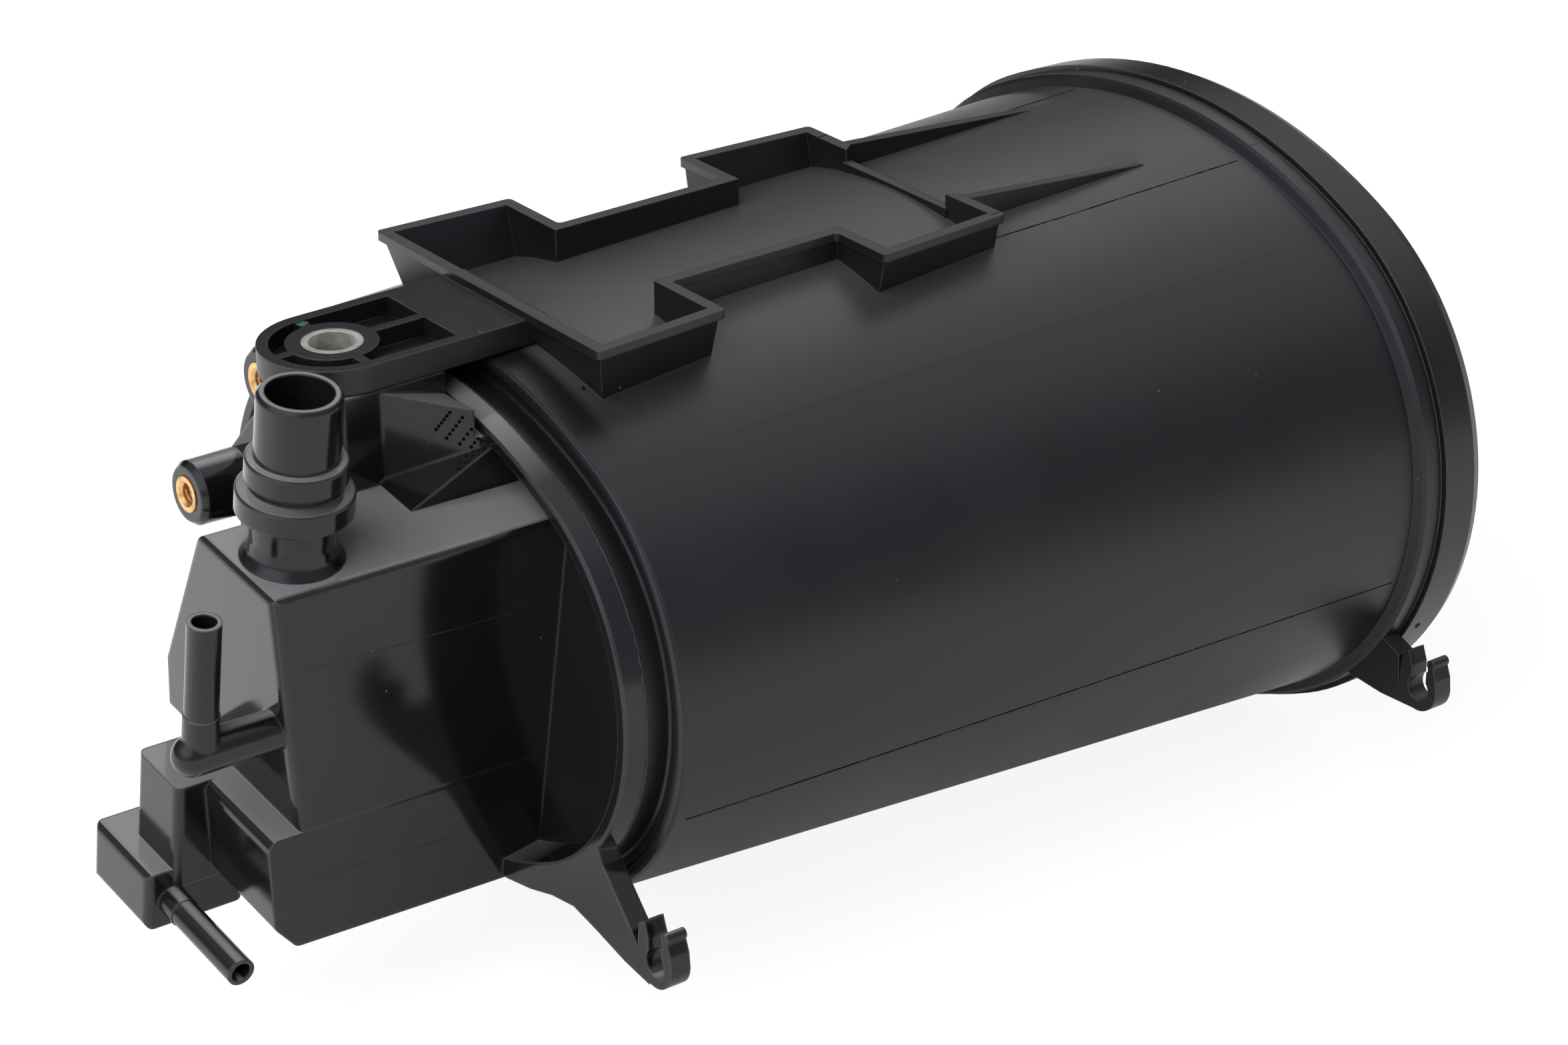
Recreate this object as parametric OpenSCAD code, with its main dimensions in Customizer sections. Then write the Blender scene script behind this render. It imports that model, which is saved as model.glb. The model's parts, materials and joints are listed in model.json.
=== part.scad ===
// Charcoal canister of a fuel vapour system: an oval drafted case with a dovetail slide bracket and a
// mounting ear on top, a ported head welded in its front end and a cap welded on its rear end.
// Millimetres. The origin is the top centre of the ear's steel bushing, +Z runs up along its bore,
// and +X runs from the ported head to the end cap.

/* [Case] */
// Width of the oval case at its front edge
front_w = 182; // [150:1:220]
// Height of the oval case at its front edge
front_h = 136; // [124:1:170]
// Radius of the two side arcs of the oval at the front edge
side_r = 60.5; // [45:0.5:64]
// Length of the case from its front edge to its rear flange
case_len = 221; // [180:1:280]
// Draft of the case wall, growing towards the cap
draft = 2.95; // [0.5:0.05:4]
// Wall of the case
wall = 3; // [2:0.1:4]
// Distance of the case's front edge behind the ear bushing
front_x = 29.4; // [24:0.1:45]
// Depth of the case's top below the ear's top, at the front edge
top_drop = 6; // [4:0.25:12]
// Slope of the case's axis, down towards the cap
axis_tilt = 1.5; // [0:0.1:3]
// Step of the rear flange out from the wall
flange_step = 3; // [2:0.25:5]
// Length of the rear flange
flange_len = 6; // [4:0.5:9]
// Step of the front collar in from the front edge
collar_in = 6.5; // [5:0.25:9]
// Reach of the front collar past the front edge, up to the weld
collar_len = 4.5; // [3:0.25:7]

/* [Head] */
// Roll of the ported head about the case's axis, towards the near side
head_roll = 8; // [0:0.5:15]
// Reach of the head's rim in front of the weld
rim_len = 5.5; // [4:0.25:8]
// Wall of the rim, of the end plate and of the duct box
head_wall = 2.5; // [2:0.1:3.5]
// Reach of the duct box in front of the case's front edge, at its top
box_reach = 77; // [65:0.5:90]
// Slope back of the duct box's front, from its top to its foot
box_rake = 9.8; // [0:0.2:14]
// Height of the duct box's top above the case's axis
box_top = 45.7; // [40:0.1:50]
// Depth of the duct box's floor below the case's axis
box_floor = 52; // [46:0.5:56]
// Height at which the lower step starts, below the case's axis
step_top = 19; // [12:0.5:26]
// Near side of the duct box, from the case's axis
box_near = 41.7; // [36:0.1:46]
// Far side of the duct box's top, from the case's axis
box_far_top = -10.6; // [-18:0.1:-4]
// Far side of the duct box below its slanted shoulder
box_far = 13.5; // [4:0.5:18]
// Far side of the lower step
step_far = 4; // [0:0.5:12]

/* [Vent port] */
// Outer radius of the vent tube
vent_r = 9.5; // [8:0.1:10.2]
// Bore radius of the vent tube
vent_bore_r = 7.6; // [6:0.1:8.4]
// Height of the vent tube above the duct box
vent_len = 41.3; // [34:0.1:55]
// Distance of the vent tube in front of the case's front edge
vent_x = 63.2; // [50:0.2:64]
// Offset of the vent tube from the case's axis, towards the near side
vent_y = 27; // [24:0.5:29]
// Radius of the hose stop under the tube
stop_r = 11.4; // [10.8:0.1:12.4]
// Radius of the flange under the hose stop
shoulder_r = 13.2; // [12.6:0.1:16]

/* [Nipples] */
// Outer radius of the purge nipple
purge_r = 3.9; // [3:0.1:5]
// Bore radius of the purge nipple
purge_bore_r = 2.8; // [2:0.1:3.5]
// Height of the purge nipple above its elbow
purge_len = 34.4; // [30:0.2:40]
// Length of the purge nipple that its hose covers, up to a small step
purge_grip = 24; // [16:0.5:28]
// Distance of the purge elbow in front of the case's front edge
purge_x = 90; // [86:0.5:100]
// Outer radius of the tank nipple
tank_r = 3.4; // [3:0.1:5]
// Bore radius of the tank nipple
tank_bore_r = 2.4; // [2:0.1:3.5]
// Length of the tank nipple
tank_len = 31; // [28:0.5:40]
// Length of the tank nipple that its hose covers, up to a small step
tank_grip = 25; // [16:0.5:26]

/* [Ear] */
// Radius of the ear's round end
ear_r = 17.2; // [15:0.1:22]
// Depth of the ear
ear_h = 6.2; // [5:0.1:9]
// Rim wall of the ear's pockets
ear_wall = 2.8; // [2:0.1:4]
// Outer radius of the steel bushing
bush_r = 7.1; // [6:0.05:9]
// Bore radius of the steel bushing
bush_bore_r = 5.45; // [4.5:0.05:6]

/* [Slide bracket] */
// Distance of the bracket's front edge behind the ear bushing
rail_x = 41; // [36:0.5:60]
// Length of the bracket
rail_len = 126; // [100:1:140]
// Width of the bracket at its front edge
rail_w_front = 91.8; // [80:0.2:110]
// Width of the bracket at its rear edge
rail_w_rear = 77; // [66:0.2:100]
// Length of the front bar
bar_front = 37.2; // [30:0.2:48]
// Length of the rear bar
bar_rear = 39.7; // [30:0.2:48]
// Width of the neck between the bars
neck_w = 45.8; // [36:0.2:60]
// Wall of the bracket's rim
rail_wall = 3; // [2:0.1:4]
// Height of the upright lip on the rim
lip_h = 2.2; // [1.5:0.1:4]
// Height of the rim above the ear's top
rail_z = 2; // [1:0.1:4]
// Gap between the near fin's tip and the rear flange
fin_gap_near = 25.4; // [12:0.2:40]
// Gap between the far fin's tip and the rear flange
fin_gap_far = 18.4; // [12:0.2:40]

/* [Thread inserts] */
// Outer radius of the brass inserts
insert_r = 4.6; // [4:0.1:5]
// Bore radius of the brass inserts
insert_bore_r = 2.6; // [2:0.05:3.2]
// Length of the brass inserts
insert_len = 11; // [8:0.5:14]
// Reach of the insert bosses in front of the case's front edge
boss_reach = 36.4; // [30:0.2:44]

/* [Tube clips] */
// Bore radius of the tube clips
clip_bore_r = 3.4; // [2.5:0.1:5]
// Wall of the tube clips
clip_wall = 2.7; // [2:0.1:4]
// Length of the tube clips along the tube
clip_len = 5.5; // [4:0.25:8]
// Distance of the front clip out from the case's front edge
clip_front_off = 21.8; // [18:0.2:26]
// Distance of the rear clip out from the rear flange
clip_rear_off = 15.9; // [15:0.1:20]
// Angle of the front clip below the level of the case's axis
clip_front_turn = 38.3; // [34:0.1:42]
// Angle of the rear clip below the level of the case's axis
clip_rear_turn = 30.8; // [26:0.2:36]

/* [Filling] */
// Height of the wall between the two charcoal chambers, above the case's axis
split_z = 22; // [16:0.5:30]
// Room for the springs between the pressure plates and the cap
spring_len = 38; // [26:1:50]
// Place of the main chamber's springs, to each side of the case's axis
spring_y = 42; // [30:0.5:46]
// Depth of the main chamber's springs below the case's axis
spring_low = 25; // [16:0.5:30]
// Height of the other chamber's spring above the case's axis
spring_high = 48; // [44:0.5:50]
// Thickness of the filter pads
pad_t = 5; // [3:0.5:8]
// Thickness of the pressure plates
plate_t = 3.5; // [2.5:0.25:5]
// Wire radius of the springs
wire_r = 0.9; // [0.6:0.05:1.2]
// Coil radius of the springs, to the middle of the wire
coil_r = 12; // [9:0.5:15]
// Turns of each spring
coil_turns = 4.5; // [3:0.5:6]
// Running clearance of the pieces inside the chambers
room = 0.4; // [0.2:0.05:0.8]

/* [View] */
// Piece to draw

/* [Hidden] */
$fn = 64;
eps = 0.01;
far = 400;
// the oval: two side arcs and two flatter arcs that meet them on a common tangent
half_w = front_w / 2;
half_h = front_h / 2;
axis_drop = half_h + top_drop;
side_y = half_w - side_r;
crown_r = (side_y * side_y + half_h * half_h - side_r * side_r) / (2 * (half_h - side_r));
crown_z = crown_r - half_h;
grow = tan(draft);
rear_off = case_len * grow;
flange_off = rear_off + flange_step;
cap_x = case_len + flange_len;
cap_len = 14;
cap_off = flange_off + 1.5;
cap_wall = 3;
// the head's rim and the spigot that locates it in the collar
rim_x = -collar_len - rim_len;
spigot_off = -collar_in - wall - 0.2;
plate_x = 0;
// the chambers: front pads, then beds up to the rear pads, the plates and the springs at the cap
pad_x = plate_x + head_wall + 5.6;
bed_x = pad_x + pad_t;
cap_in = cap_x + cap_len - cap_wall;
spring_x = cap_in - spring_len;
plate_rear_x = spring_x - plate_t;
rear_pad_x = plate_rear_x - pad_t;
split_len = spring_x + 5;
seat_h = 4;
spring_gap = 0.1;
hole_pitch = 18;
hole_r = 3;
split_t = 2.4;
// the bracket's outline
rail_end = rail_x + rail_len;
rail_neck_a = rail_x + bar_front;
rail_neck_b = rail_end - bar_rear;
lean_end = 5;
lean_front = 4;
case_top = half_h - axis_drop;
wall_foot = case_top - 10;
fin_y = 23.4;
fin_t = 2.6;
// the head's features that several pieces share
boss_r = 8.2;
prop_x = -9;
prop_y = -16.8;
prop_z = -44;
ear_bottom = -ear_h;
insert_low = [62.6, 4.6];
insert_up = [31.9, 52];
elbow_y = -35.5;
elbow_z = 7.4;
ball_x = -purge_x - 1.9;
elbow_r = 4.8;
hose_step = 0.25;
press_room = 0.05;
tank_x = -82.5;
tank_z = -50.5;
tank_near = -13;
tank_far = 12;
tank_tall = 15.5;
tank_back = 26;
nose_x = -82.5;
nose_near = -14;
nose_back = -64;
duct_split = 24;
box_corner = 2.6;

// half width of the bracket's rim at a distance along it
function rail_half(x) = (rail_w_front + (rail_w_rear - rail_w_front) * (x - rail_x) / rail_len) / 2;

// the bracket's outline, walked once round; each corner gives x, y and how far its foot leans in
function rail_corners() = [
    [rail_x, rail_half(rail_x), lean_front, -lean_end],
    [rail_neck_a, rail_half(rail_neck_a), 0, -lean_end],
    [rail_neck_a, neck_w / 2, 0, 0],
    [rail_neck_b, neck_w / 2, 0, 0],
    [rail_neck_b, rail_half(rail_neck_b), 0, -lean_end * 0.7],
    [rail_end, rail_half(rail_end), 0, -lean_end * 0.7],
    [rail_end, -rail_half(rail_end), 0, lean_end * 0.7],
    [rail_neck_b, -rail_half(rail_neck_b), 0, lean_end * 0.7],
    [rail_neck_b, -neck_w / 2, 0, 0],
    [rail_neck_a, -neck_w / 2, 0, 0],
    [rail_neck_a, -rail_half(rail_neck_a), 0, lean_end],
    [rail_x, -rail_half(rail_x), lean_front, lean_end]];

// the same outline moved in by a wall: the bars shrink, the neck's walls come closer
function rail_inset(w) = [
    [1, -1], [-1, -1], [-1, -1], [1, -1], [1, -1], [-1, -1],
    [-1, 1], [1, 1], [1, 1], [-1, 1], [-1, 1], [1, 1]] * w;

function rail_ring(inset, lean) = [for (i = [0:11])
    let (c = rail_corners()[i], d = rail_inset(inset)[i])
    [c[0] + c[2] * lean + d[0], c[1] + c[3] * lean + d[1]]];

// rounds each corner of an outline with a short arc
function unit(v) = v / norm(v);
function rounded(pts, r, n = 4) = [for (i = [0:len(pts) - 1])
    let (p = pts[i], a = unit(pts[(i + len(pts) - 1) % len(pts)] - p), b = unit(pts[(i + 1) % len(pts)] - p),
        half = acos(a * b) / 2, d = r / tan(half), c = p + unit(a + b) * (r / sin(half)),
        s = p + a * d - c, e = p + b * d - c, turn = 180 - 2 * half,
        sgn = s[0] * e[1] - s[1] * e[0] > 0 ? 1 : -1)
    for (k = [0:n]) let (t = sgn * turn * k / n)
        c + [s[0] * cos(t) - s[1] * sin(t), s[0] * sin(t) + s[1] * cos(t)]];

// a rectangle from one corner to the opposite one
function rect(a, b) = [a, [a[0], b[1]], b, [b[0], a[1]]];

// stands a turned piece along the case's axis, from a distance x and a place [y, z]
module lengthwise(x, at) translate([x, at[0], at[1]]) rotate([0, 90, 0]) children();

// stands an outline drawn as y, z along the case's axis
module along_x(x0, x1) translate([x0, 0, 0]) rotate([90, 0, 90]) linear_extrude(x1 - x0) children();

// stands an outline drawn as x, z across the case's axis
module along_y(y0, y1) translate([0, y1, 0]) rotate([90, 0, 0]) linear_extrude(y1 - y0) children();

// places the case's axis in the row's frame
module on_axis() translate([front_x, 0, -axis_drop]) rotate([0, axis_tilt, 0]) children();

// places the ported head, rolled on the case's axis
module on_head() on_axis() rotate([head_roll, 0, 0]) children();

// one arc of the oval: a wall profile, given as [distance along the axis, offset from the front edge's
// oval], is turned about the arc's own centre line and cut to the arc's sector; seam turns the start of
// the turned face to the side that is cut away
module oval_arc(profile, r, centre, seam, sector) {
    n = len(profile);
    outline = concat([[0, profile[0][0]]], [for (p = profile) [r + p[1], p[0]]], [[0, profile[n - 1][0]]]);
    intersection() {
        translate([0, centre[0], centre[1]]) rotate([seam, 0, 0]) rotate([0, 90, 0])
            rotate_extrude($fn = 96) polygon(outline);
        along_x(profile[0][0] - 1, profile[n - 1][0] + 1) polygon(sector);
    }
}

// a solid whose wall profile runs all round the oval, from four tangent arcs that share one draft; the
// sectors lap over each other inside, so that no two of them only touch
module oval_turn(profile) {
    lap = min(8, crown_z / 2, side_y / 2);
    reach = far / crown_z + 1;
    for (s = [-1, 1]) {
        start = [s * (side_y - lap), 0];
        oval_arc(profile, side_r, [s * side_y, 0], -s * 90,
            [start, start + [s * side_y, crown_z] * reach, start + [s * side_y, -crown_z] * reach]);
        apex = [0, -s * crown_z];
        left = [-side_y, s * crown_z];
        right = [side_y, s * crown_z];
        inner = 1 - lap / crown_z;
        oval_arc(profile, crown_r, apex, 90 - s * 90,
            [apex + right * inner, apex + right * reach, apex + left * reach, apex + left * inner]);
    }
}

// the offset of the case's inside at a distance along the axis
function inside(x) = x * grow - wall;

// the inside of the case
module case_space() oval_turn([[-collar_len - 1, -collar_in - wall], [5, -collar_in - wall],
    [8, inside(8)], [cap_x + 1, inside(cap_x + 1)]]);

// a slice of the inside, loose by the running clearance
module slice(x0, x1) oval_turn([[x0, inside(x0) - room], [x1, inside(x1) - room]]);

// the part of a slice under or over the wall between the chambers
module main_side() rotate([head_roll, 0, 0])
    translate([-10, -far / 2, -far]) cube([far, far, far + split_z - room]);

module aux_side() rotate([head_roll, 0, 0])
    translate([-10, -far / 2, split_z + split_t + room]) cube(far);

// the bracket's rim: an upright lip over walls that lean in like a dovetail
module rail_solid(inset, z0, z1, lean0, lean1) {
    top = [for (p = rail_ring(inset, lean1)) [p[0], p[1], z1]];
    foot = [for (p = rail_ring(inset, lean0)) [p[0], p[1], z0]];
    sides = [for (i = [0:11]) let (j = (i + 1) % 12) each [[i, i + 12, j + 12], [i, j + 12, j]]];
    // both ends are cut in the two bars and the neck, so that every face is convex
    ends = [[0, 1, 2], [0, 2, 9], [0, 9, 11], [9, 10, 11], [2, 3, 8], [2, 8, 9], [3, 4, 5], [3, 5, 6],
        [3, 6, 8], [6, 7, 8]];
    polyhedron(concat(top, foot), concat(ends, sides, [for (e = ends) [e[2] + 12, e[1] + 12, e[0] + 12]]));
}

module rail() {
    lip_z = rail_z - lip_h;
    depth = rail_z - wall_foot;
    difference() {
        union() {
            translate([0, 0, lip_z]) linear_extrude(lip_h) polygon(rounded(rail_ring(0, 0), 1.2));
            rail_solid(1, wall_foot, rail_z - 0.6, 1, 0);
        }
        rail_solid(rail_wall, wall_foot - depth * 0.1, rail_z + depth * 0.1, 1.1, -0.1);
        // the rear wall is open between the bar's ends
        translate([0, 0, wall_foot]) linear_extrude(far)
            polygon([[rail_end - 8, -16], [rail_end - 8, 16], [rail_end + 1, 22], [rail_end + 1, -22]]);
    }
    // short rib that stiffens the front bar
    translate([rail_x + 2, -1.2, 0]) rotate([90, 0, 0]) linear_extrude(2.4)
        polygon([[0, 0], [16, -8], [16, wall_foot], [0, wall_foot]]);
    // low strip across the open rear side
    translate([rail_end - 3.5, -20, wall_foot]) cube([2.5, 40, -wall_foot - 1.5]);
}

// two fins that run on from the bracket and fall to the case
module fin(y, gap) {
    tip = front_x + case_len - gap;
    translate([0, y + fin_t / 2, 0]) rotate([90, 0, 0]) linear_extrude(fin_t)
        polygon([[rail_end - 2, rail_z], [tip, case_top + 3], [tip, wall_foot], [rail_end - 2, wall_foot]]);
}

module fins() {
    fin(-fin_y, fin_gap_near);
    fin(fin_y, fin_gap_far);
}

// the mounting ear's outline: a round end that runs back on the case
module ear_outline(r) {
    circle(r);
    translate([0, -r]) square([rail_x + 6, 2 * r]);
}

module ear() {
    ring_r = 10.7;
    rib = 2.4;
    back = 24;
    difference() {
        translate([0, 0, ear_bottom]) linear_extrude(ear_h) ear_outline(ear_r);
        difference() {
            translate([0, 0, ear_bottom + 1.6]) linear_extrude(far) intersection() {
                ear_outline(ear_r - ear_wall);
                translate([-far, -far / 2]) square([far + back, far]);
            }
            translate([0, 0, -far / 2]) cylinder(r = ring_r, h = far);
            translate([0, -rib / 2, -far / 2]) cube([far, rib, far]);
            for (a = [90, 180, 270]) rotate([0, 0, a])
                translate([0, -rib / 2, -far / 2]) cube([ear_r, rib, far]);
        }
        translate([0, 0, -far / 2]) cylinder(r = bush_r + press_room, h = far);
    }
}

// a place beside the oval's near lower arc: so far out from the front edge's oval, and so far below level
function by_oval(off, down) = [-side_y - (side_r + off) * cos(down), -(side_r + off) * sin(down)];

// a snap clip for a tube that runs along the case, open upwards; its jaws and arm are drawn about its bore,
// and the arm's root runs into the wall that the clip hangs on
module tube_clip(x0, at, arm) translate([x0, at[0], at[1]]) {
    b = clip_bore_r;
    r = clip_bore_r + clip_wall;
    difference() {
        union() {
            along_x(0, clip_len) polygon(arm);
            rotate([0, 90, 0]) cylinder(r = r, h = clip_len);
            along_x(0, clip_len)
                polygon([[-r, 0], [-r + 0.5, 4], [-r + 2, 7.6], [-b + 1, 8.2], [-b, 2], [0, 0]]);
            along_x(0, clip_len)
                polygon([[r, 0], [r + 0.4, 3], [r, 8], [r - 1.8, 9.2], [b - 0.4, 6], [0, 0]]);
            lengthwise(0, [-b, 8]) cylinder(r = 1.3, h = clip_len);
        }
        translate([-1, 0, 0]) rotate([0, 90, 0]) cylinder(r = b, h = clip_len + 2);
        along_x(-1, clip_len + 1) polygon([[-b * 0.72, 0], [-b * 0.6, 13], [b * 0.9, 13], [b * 0.72, 0]]);
    }
}

// the case: one moulding with its bracket, ear, fins, flanges, rear tube clip and chamber wall
module body_shell() color([0.10, 0.10, 0.11]) {
    difference() {
        union() {
            on_axis() oval_turn([
                [-collar_len, -collar_in], [1.2, -collar_in], [1.6, -collar_in + 0.6], [1.6, -4], [0.4, -3],
                [0, -2.4], [0, -1.2], [0.35, -0.4], [1.2, 1.2 * grow], [case_len - 1, rear_off - grow],
                [case_len, flange_off - 0.8], [case_len + 0.8, flange_off], [cap_x, flange_off]]);
            difference() {
                union() {
                    rail();
                    fins();
                    ear();
                }
                on_axis() case_space();
            }
            on_axis() tube_clip(case_len + 0.5, by_oval(flange_off + clip_rear_off, clip_rear_turn),
                [[24.5, -5.5], [30, 4], [26, 13], [12.5, 8.5], [7.5, 6.5], [6.5, -0.5], [0.5, -6],
                [12.5, -6.5]]);
        }
        on_axis() case_space();
    }
    // the wall between the two chambers
    on_axis() intersection() {
        oval_turn([[head_wall + 1, -collar_in - wall - 1.2], [7, -collar_in - wall - 1.2],
            [9, inside(9) + 1], [split_len, inside(split_len) + 1]]);
        rotate([head_roll, 0, 0]) translate([0, -far / 2, split_z]) cube([split_len, far, split_t]);
    }
}

// outline of the duct box seen from the near side, moved in by a wall
function box_side(w) = let (x = -box_reach + w, f = -box_reach + box_rake + w)
    [[2, box_top - w], [x, box_top - w], [f, -step_top + w], [2, -step_top + w]];

// outline of the lower step seen from the near side
function step_side(w) = let (x = -box_reach + 1.5 + w)
    [[2, -step_top - w], [x, -step_top - w], [x + 3, -box_floor + 8 + w], [x + 9, -box_floor + 1 + w],
        [2, -box_floor - 1 + w]];

// the duct box: its side outline cut by its front outline with the slanted far shoulder, and by a prism
// that leans with its front and rounds the near corner
module duct_box(w) intersection() {
    along_y(-box_near - 5, box_far + 5) polygon(w > 0 ? box_side(w) : rounded(box_side(w), 1.5));
    along_x(-far, far) polygon(rounded([[-box_near + w, -box_floor], [-box_near + w, box_top - w],
        [box_far_top - w, box_top - w], [box_far - w, -3], [box_far + 2.5 - w, -step_top],
        [box_far + 2.5 - w, -box_floor]], 1.5));
    translate([w - box_reach, w - box_near, box_top]) rotate([0, -atan(box_rake / (box_top + step_top)), 0])
        translate([0, 0, -far / 2]) linear_extrude(far)
            polygon(rounded([[0, 0], [far, 0], [far, far], [0, far]], w > 0 ? 0.5 : box_corner));
}

module step_box(w) intersection() {
    along_y(-box_near - 5, step_far + 5) polygon(w > 0 ? step_side(w) : rounded(step_side(w), 2.5));
    along_x(-far, far)
        polygon(rounded(rect([w - box_near, w - box_floor - 2], [step_far - w, 1 - step_top - w]), 2));
}

// the block in front of the step that turns the tank nipple into it
module tank_block(w) translate([tank_x - 6.5 + w, tank_near + w, tank_z - 7 + w]) intersection() {
    r = w > 0 ? 0.5 : 2;
    wide = tank_far - tank_near - 2 * w;
    along_y(0, wide) polygon(rounded(rect([0, 0], [tank_back, tank_tall - 2 * w]), r));
    linear_extrude(far) polygon(rounded(rect([0, 0], [tank_back, wide]), r));
}

// the nose of the step, that the block hangs on
module step_nose(w) translate([0, 0, -box_floor + 5 + w]) linear_extrude(box_floor - step_top - 5 - 2 * w)
    polygon(rounded(rect([nose_x + w, nose_near + w], [nose_back - w, step_far - w]), w > 0 ? 0.5 : 2));

// a boss for a thread insert, rooted on the end plate
module insert_boss(at) lengthwise(-boss_reach, at) {
    cylinder(r1 = boss_r - 1.2, r2 = boss_r, h = 1.5);
    translate([0, 0, 1.5]) cylinder(r1 = boss_r, r2 = boss_r + 0.6, h = boss_reach + head_wall - 1.5);
}

module insert_hole(at) lengthwise(-boss_reach - 1, at)
    cylinder(r = insert_r + press_room, h = insert_len + 3);

// the vent tube with its hose stop and flange, turned in one profile
module vent_port() translate([-vent_x, -vent_y, box_top - 1]) rotate_extrude() polygon([
    [0, 0], [12.5, 0], [11.4, 1.4], [10.2, 3.4], [9.7, 6], [9.7, 12.6], [shoulder_r - 0.4, 13],
    [shoulder_r, 13.4], [shoulder_r, 18.2], [shoulder_r - 0.4, 18.6], [10.3, 19.2], [10.3, 20.7],
    [stop_r - 0.3, 21], [stop_r, 21.3], [stop_r, 26], [stop_r - 0.4, 26.4],
    [vent_r, 26.6], [vent_r, vent_len], [vent_r - 0.8, vent_len + 1], [0, vent_len + 1]]);

// the purge elbow: a boss out of the box's front and a nipple up from its round end
module purge_elbow() translate([0, elbow_y, elbow_z]) {
    lengthwise(ball_x, [0, 0]) cylinder(r = elbow_r, h = -ball_x - box_reach + box_rake + 2);
    translate([ball_x, 0, 0]) sphere(r = elbow_r);
    translate([-purge_x, 0, 0]) cylinder(r = purge_r, h = purge_len);
    translate([-purge_x, 0, 0]) cylinder(r = purge_r + hose_step, h = purge_len - purge_grip);
}

module purge_bores() translate([0, elbow_y, elbow_z]) {
    lengthwise(-purge_x, [0, 0]) cylinder(r = purge_bore_r, h = purge_x - box_reach + box_rake + 8);
    translate([-purge_x, 0, 0]) cylinder(r = purge_bore_r, h = purge_len + 1);
}

// support under the ear: an upright wall with a round front corner and an oblique gusset to the rim
module ear_support() {
    gap = 0.4;
    translate([0, 0, prop_z]) linear_extrude(ear_bottom - gap - prop_z) difference() {
        polygon(rounded([[prop_x, prop_y], [1.8, prop_y], [19.5, -29], [front_x + 1.5, -29],
            [front_x + 1.5, ear_r], [prop_x, ear_r]], 1.2));
        polygon(rect([prop_x + head_wall, prop_y + 0.2 + head_wall], [front_x, ear_r - head_wall]));
    }
}

// the gusset's top falls towards the rim
module gusset_cut() along_y(-60, prop_y)
    polygon([[0, ear_bottom - 0.8], [front_x - 9, ear_bottom - 6.5], [front_x + 9, ear_bottom - 6.5],
        [front_x + 9, 9], [0, 9]]);

// the ported head: end plate, rim with the front tube clip, duct box, step, ports, bosses and ribs
module front_head() color([0.05, 0.05, 0.055]) difference() {
    union() {
        // the rim and the spigot with the end plate
        on_axis() difference() {
            union() {
                oval_turn([[rim_x, -collar_in - 1.4], [rim_x + 0.5, -collar_in - 0.9],
                    [-collar_len, -collar_in], [-collar_len, spigot_off], [plate_x + head_wall, spigot_off]]);
                // the front tube clip hangs on a web that is flush with the rim
                tube_clip(rim_x, by_oval(clip_front_off, clip_front_turn),
                    [[70, -6.2], [58.8, -5.8], [49, -4], [40.2, -1.5], [31.6, -0.3], [23.1, -2.1], [11.4, -5],
                    [2, -6.4], [-2, -3], [6.7, 1.7], [20.5, 16], [24, 24], [42, 16], [62, 4]]);
            }
            oval_turn([[rim_x - 1, -collar_in - head_wall - 1.4], [plate_x, spigot_off - head_wall]]);
        }
        // from the weld on, all that stands on the end plate stays inside the spigot
        difference() {
            on_head() {
                difference() {
                    union() {
                        duct_box(0);
                        step_box(0);
                        step_nose(0);
                        tank_block(0);
                        vent_port();
                        purge_elbow();
                        insert_boss(insert_low);
                        insert_boss(insert_up);
                        // the arm that joins the two bosses
                        along_x(-22, 1) polygon(rounded([insert_low + [-6, 2], insert_up + [-6, -2],
                            insert_up + [5, 4], insert_low + [6, 4]], 2));
                        // the ramp that rises from the box to the rim
                        along_y(-24, -6) polygon([[-30.4, box_top - 1], [-30.4, box_top],
                            [-8.5, box_top + 11.7], [1, box_top + 11.7], [1, box_top - 1]]);
                    }
                    duct_box(head_wall);
                    step_box(head_wall);
                    step_nose(head_wall);
                    tank_block(2.2);
                    translate([-vent_x, -vent_y, box_top - 5]) cylinder(r = vent_bore_r, h = vent_len + 10);
                    purge_bores();
                    // the passage between the step and the block
                    translate([nose_x + 4, tank_near + 5, tank_z - 2]) cube([12, 10, 9]);
                }
                translate([tank_x, tank_near + 1, tank_z]) rotate([90, 0, 0]) difference() {
                    union() {
                        cylinder(r = tank_r, h = tank_len + 1);
                        cylinder(r = tank_r + hose_step, h = tank_len + 1 - tank_grip);
                    }
                    translate([0, 0, -3]) cylinder(r = tank_bore_r, h = tank_len + 5);
                }
                // the wall that keeps the vent's passage from the tank's
                intersection() {
                    along_x(-box_reach, 1) translate([-box_near, duct_split]) square([box_near + box_far, 2]);
                    duct_box(head_wall / 2);
                }
            }
            on_axis() difference() {
                translate([-collar_len - 0.3, -far / 2, -far / 2]) cube(far);
                oval_turn([[-collar_len - 1, spigot_off], [plate_x + head_wall + 9, spigot_off]]);
            }
        }
        // behind the rim's edge the support stays inside the rim, in front of it it reaches up to the ear
        intersection() {
            difference() {
                ear_support();
                gusset_cut();
                on_head() duct_box(head_wall);
            }
            union() {
                on_axis() oval_turn([[rim_x - 60, spigot_off], [plate_x + head_wall, spigot_off]]);
                translate([-far, -far / 2, -far / 2]) cube([far + front_x + rim_x - 0.6, far, far]);
            }
        }
    }
    // the ducts open through the end plate in the two chambers
    on_head() {
        insert_hole(insert_low);
        insert_hole(insert_up);
        along_x(-10, 10) polygon(rect([-box_near + 5, duct_split + 5], [box_far_top - 5, box_top - 5]));
        along_x(-10, 10) polygon(rect([-box_near + 5, -box_floor + 6], [box_far - 6, 12]));
        translate([tank_x, tank_near + 4, tank_z]) rotate([90, 0, 0]) cylinder(r = tank_bore_r, h = 6);
    }
}

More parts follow.
